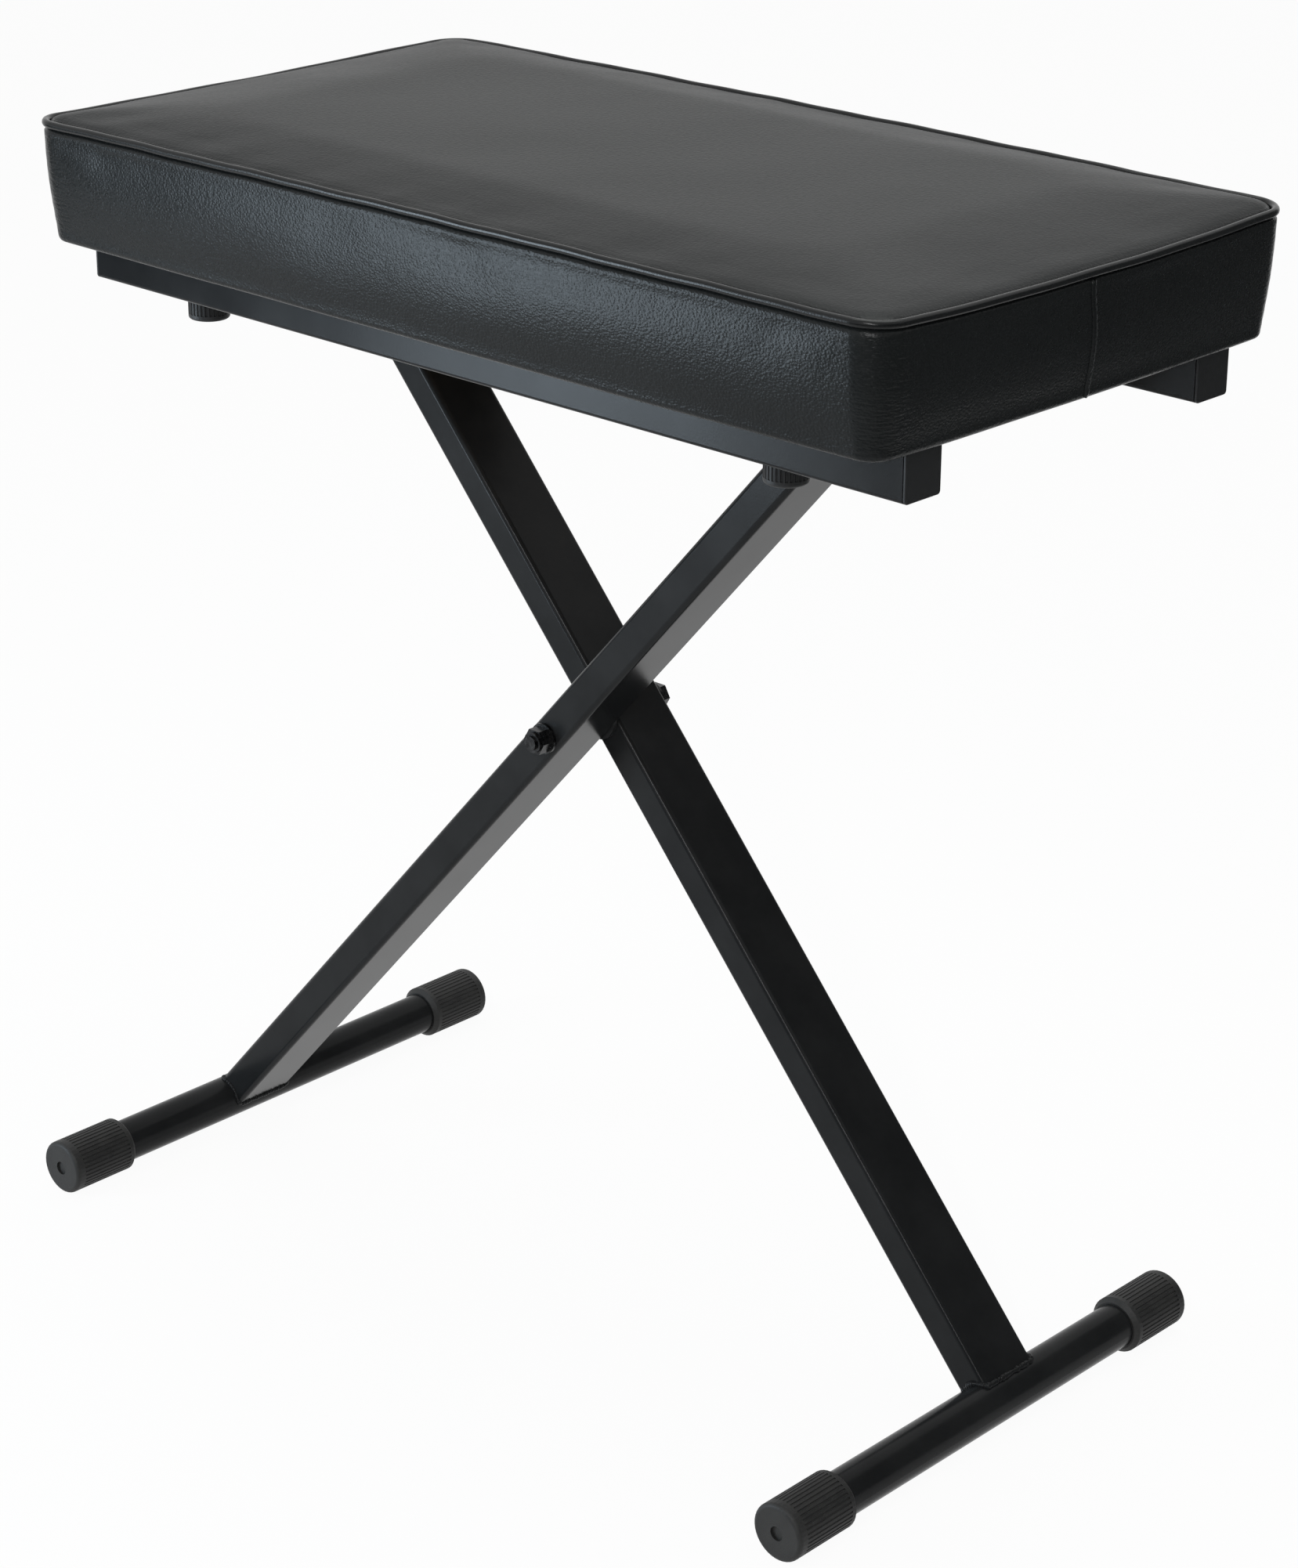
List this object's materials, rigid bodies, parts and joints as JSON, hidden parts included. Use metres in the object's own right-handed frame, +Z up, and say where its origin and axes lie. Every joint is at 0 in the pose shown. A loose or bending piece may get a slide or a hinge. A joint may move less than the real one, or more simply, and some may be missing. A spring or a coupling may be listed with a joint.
{
  "type": "keyboard bench",
  "caption": "Folding bench for a keyboard player: padded oblong seat on rails over crossed steel legs that turn on a bolt, with hand screws under the seat and rubber-capped feet.",
  "frame": {"origin": "middle of the bench's footprint at floor level", "axes": "+Z up, +X along the seat toward the end where the slide shoes run out, -Y toward the front"},
  "size_m": [0.6176, 0.336, 0.648],
  "materials": {
    "leatherette": "satin",
    "piping": "satin",
    "plywood": "matte",
    "painted_steel": "satin",
    "black_plastic": "satin",
    "knob_plastic": "satin",
    "nylon": "satin",
    "zinc_steel": "satin",
    "black_hardware": "satin",
    "rubber": "matte"
  },
  "bodies": {
    "seat": {"seat_cushion": "leatherette", "seat_piping": "piping", "seat_board": "plywood", "board_inserts": "zinc_steel", "rail_bolts": "zinc_steel", "front_rail": "painted_steel", "rear_rail": "painted_steel", "plug_front_left": "black_plastic", "plug_front_right": "black_plastic", "plug_rear_left": "black_plastic", "plug_rear_right": "black_plastic", "front_track": "painted_steel", "rear_track": "painted_steel", "hinge_block_front": "nylon", "hinge_block_rear": "nylon", "hinge_nut_front": "zinc_steel", "hinge_nut_rear": "zinc_steel"},
    "rear_leg": {"rear_leg": "painted_steel", "rear_cross_tube": "painted_steel", "rear_foot_tube": "painted_steel", "cap_rear_foot_front": "rubber", "cap_rear_foot_rear": "rubber", "rear_sleeve": "zinc_steel", "rear_washer": "black_hardware", "front_washer": "black_hardware", "leg_spacer": "nylon", "pivot_bolt": "black_hardware", "pivot_nut": "black_hardware"},
    "front_leg": {"front_leg": "painted_steel", "front_cross_tube": "painted_steel", "front_foot_tube": "painted_steel", "cap_front_foot_front": "rubber", "cap_front_foot_rear": "rubber", "front_sleeve": "zinc_steel"},
    "slide_shoes": {"slide_shoe_front": "nylon", "slide_shoe_rear": "nylon", "shoe_nut_front": "zinc_steel", "shoe_nut_rear": "zinc_steel"},
    "hand_screw_hinge_front": {"knob_hinge_front": "knob_plastic", "stud_hinge_front": "zinc_steel"},
    "hand_screw_hinge_rear": {"knob_hinge_rear": "knob_plastic", "stud_hinge_rear": "zinc_steel"},
    "hand_screw_shoe_front": {"knob_shoe_front": "knob_plastic", "stud_shoe_front": "zinc_steel"},
    "hand_screw_shoe_rear": {"knob_shoe_rear": "knob_plastic", "stud_shoe_rear": "zinc_steel"}
  },
  "joints": [
    {"name": "leg_fold", "type": "hinge", "parent": "seat", "child": "rear_leg", "pos_m": [-0.2116, 0, 0.5545], "axis": [0, 1, 0], "range_deg": [-45, 0]},
    {"name": "leg_pivot", "type": "hinge", "parent": "rear_leg", "child": "front_leg", "pos_m": [-0.01316, 0, 0.331], "axis": [0, 1, 0], "range_deg": [0, 90]},
    {"name": "shoe_hinge", "type": "hinge", "parent": "front_leg", "child": "slide_shoes", "pos_m": [0.18527, 0, 0.5545], "axis": [0, 1, 0], "range_deg": [-45, 0]},
    {"name": "turn_hinge_front", "type": "hinge", "parent": "seat", "child": "hand_screw_hinge_front", "pos_m": [-0.2211, -0.088, 0.531], "axis": [0, 0, 1], "continuous": true},
    {"name": "turn_hinge_rear", "type": "hinge", "parent": "seat", "child": "hand_screw_hinge_rear", "pos_m": [-0.2211, 0.088, 0.531], "axis": [0, 0, 1], "continuous": true},
    {"name": "turn_shoe_front", "type": "hinge", "parent": "slide_shoes", "child": "hand_screw_shoe_front", "pos_m": [0.19477, -0.088, 0.531], "axis": [0, 0, 1], "continuous": true},
    {"name": "turn_shoe_rear", "type": "hinge", "parent": "slide_shoes", "child": "hand_screw_shoe_rear", "pos_m": [0.19477, 0.088, 0.531], "axis": [0, 0, 1], "continuous": true}
  ],
  "couplings": [
    {"joint": "leg_pivot", "follows": "leg_fold", "ratio": -2},
    {"joint": "shoe_hinge", "follows": "leg_fold", "ratio": 1}
  ]
}
